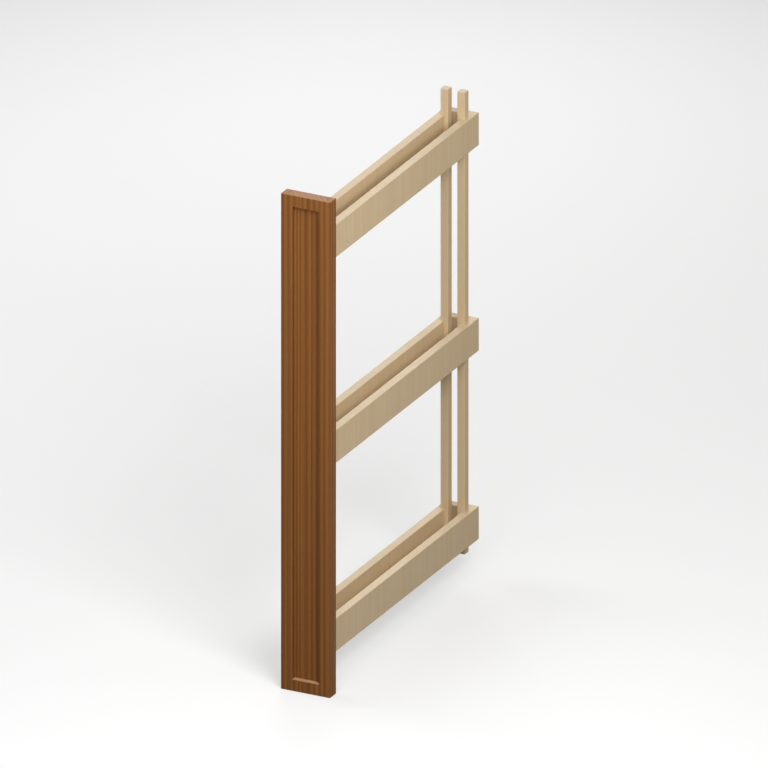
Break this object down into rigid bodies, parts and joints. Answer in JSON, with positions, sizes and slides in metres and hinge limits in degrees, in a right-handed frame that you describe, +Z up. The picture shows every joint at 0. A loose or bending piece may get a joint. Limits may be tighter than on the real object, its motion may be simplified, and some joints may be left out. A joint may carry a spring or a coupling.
{
  "type": "base cabinet pull-out",
  "caption": "Narrow base cabinet pull-out: a framed wooden front carries long open trays tied by posts at the back, on side-mounted ball-bearing slides.",
  "frame": {"origin": "middle of the bounding box's floor, below the trays and level with the lower edge of the front", "axes": "+X to the right as the front is faced, -Y out of the cabinet towards the user, +Z up"},
  "size_m": [0.0778, 0.4966, 0.762],
  "materials": {
    "front_wood": "red-brown stained hardwood, satin lacquer",
    "tray_wood": "pale birch or maple, clear satin lacquer",
    "dowel_wood": "plain beech, unfinished",
    "screw_steel": "zinc plated",
    "zinc_steel": "cold-rolled sheet, bright zinc",
    "cage_steel": "thin pressed sheet, dull zinc",
    "ball_steel": "polished",
    "lever_plastic": "black, lightly grained",
    "stop_rubber": "black, matt",
    "bumper_pad": "clear soft polyurethane, slightly cloudy"
  },
  "bodies": {
    "wall_rails": {"lower_slide_wall_rail": "zinc_steel", "lower_slide_bumper": "stop_rubber", "upper_slide_wall_rail": "zinc_steel", "upper_slide_bumper": "stop_rubber"},
    "pull_out": {"door_stile_left": "front_wood", "door_stile_right": "front_wood", "door_rail_bottom": "front_wood", "door_rail_top": "front_wood", "door_panel": "front_wood", "door_bumpers": "bumper_pad", "bottom_side_left": "tray_wood", "bottom_side_right": "tray_wood", "bottom_front": "tray_wood", "bottom_back": "tray_wood", "bottom_floor": "tray_wood", "bottom_dowels": "dowel_wood", "bottom_door_screws": "screw_steel", "middle_side_left": "tray_wood", "middle_side_right": "tray_wood", "middle_front": "tray_wood", "middle_back": "tray_wood", "middle_floor": "tray_wood", "middle_dowels": "dowel_wood", "middle_door_screws": "screw_steel", "top_side_left": "tray_wood", "top_side_right": "tray_wood", "top_front": "tray_wood", "top_back": "tray_wood", "top_floor": "tray_wood", "top_dowels": "dowel_wood", "top_door_screws": "screw_steel", "post_left": "tray_wood", "post_right": "tray_wood", "lower_slide_runner": "zinc_steel", "lower_slide_screws": "screw_steel", "lower_slide_lever_rivet": "screw_steel", "upper_slide_runner": "zinc_steel", "upper_slide_screws": "screw_steel", "upper_slide_lever_rivet": "screw_steel"},
    "lower_mid_rail": {"lower_slide_mid_rail": "zinc_steel"},
    "lower_outer_cage": {"lower_slide_outer_cage": "cage_steel", "lower_slide_outer_balls": "ball_steel"},
    "lower_inner_cage": {"lower_slide_inner_cage": "cage_steel", "lower_slide_inner_balls": "ball_steel"},
    "lower_release_lever": {"lower_slide_release_lever": "lever_plastic"},
    "upper_mid_rail": {"upper_slide_mid_rail": "zinc_steel"},
    "upper_outer_cage": {"upper_slide_outer_cage": "cage_steel", "upper_slide_outer_balls": "ball_steel"},
    "upper_inner_cage": {"upper_slide_inner_cage": "cage_steel", "upper_slide_inner_balls": "ball_steel"},
    "upper_release_lever": {"upper_slide_release_lever": "lever_plastic"}
  },
  "joints": [
    {"name": "pull", "type": "slide", "parent": "wall_rails", "child": "pull_out", "axis": [0, -1, 0], "range_m": [0, 0.45]},
    {"name": "lower_mid_rail_slide", "type": "slide", "parent": "wall_rails", "child": "lower_mid_rail", "axis": [0, -1, 0], "range_m": [0, 0.225]},
    {"name": "lower_outer_cage_slide", "type": "slide", "parent": "wall_rails", "child": "lower_outer_cage", "axis": [0, -1, 0], "range_m": [0, 0.1125]},
    {"name": "lower_inner_cage_slide", "type": "slide", "parent": "wall_rails", "child": "lower_inner_cage", "axis": [0, -1, 0], "range_m": [0, 0.3375]},
    {"name": "lower_release", "type": "hinge", "parent": "pull_out", "child": "lower_release_lever", "pos_m": [-0.02875, 0.03227, 0.0712], "axis": [-1, 0, 0], "range_deg": [0, 8], "stiffness_Nm_per_rad": 0.1},
    {"name": "upper_mid_rail_slide", "type": "slide", "parent": "wall_rails", "child": "upper_mid_rail", "axis": [0, -1, 0], "range_m": [0, 0.225]},
    {"name": "upper_outer_cage_slide", "type": "slide", "parent": "wall_rails", "child": "upper_outer_cage", "axis": [0, -1, 0], "range_m": [0, 0.1125]},
    {"name": "upper_inner_cage_slide", "type": "slide", "parent": "wall_rails", "child": "upper_inner_cage", "axis": [0, -1, 0], "range_m": [0, 0.3375]},
    {"name": "upper_release", "type": "hinge", "parent": "pull_out", "child": "upper_release_lever", "pos_m": [-0.02875, 0.03227, 0.6771], "axis": [-1, 0, 0], "range_deg": [0, 8], "stiffness_Nm_per_rad": 0.1}
  ],
  "couplings": [
    {"joint": "lower_mid_rail_slide", "follows": "pull", "ratio": 0.5},
    {"joint": "lower_outer_cage_slide", "follows": "pull", "ratio": 0.25},
    {"joint": "lower_inner_cage_slide", "follows": "pull", "ratio": 0.75},
    {"joint": "upper_mid_rail_slide", "follows": "pull", "ratio": 0.5},
    {"joint": "upper_outer_cage_slide", "follows": "pull", "ratio": 0.25},
    {"joint": "upper_inner_cage_slide", "follows": "pull", "ratio": 0.75}
  ]
}
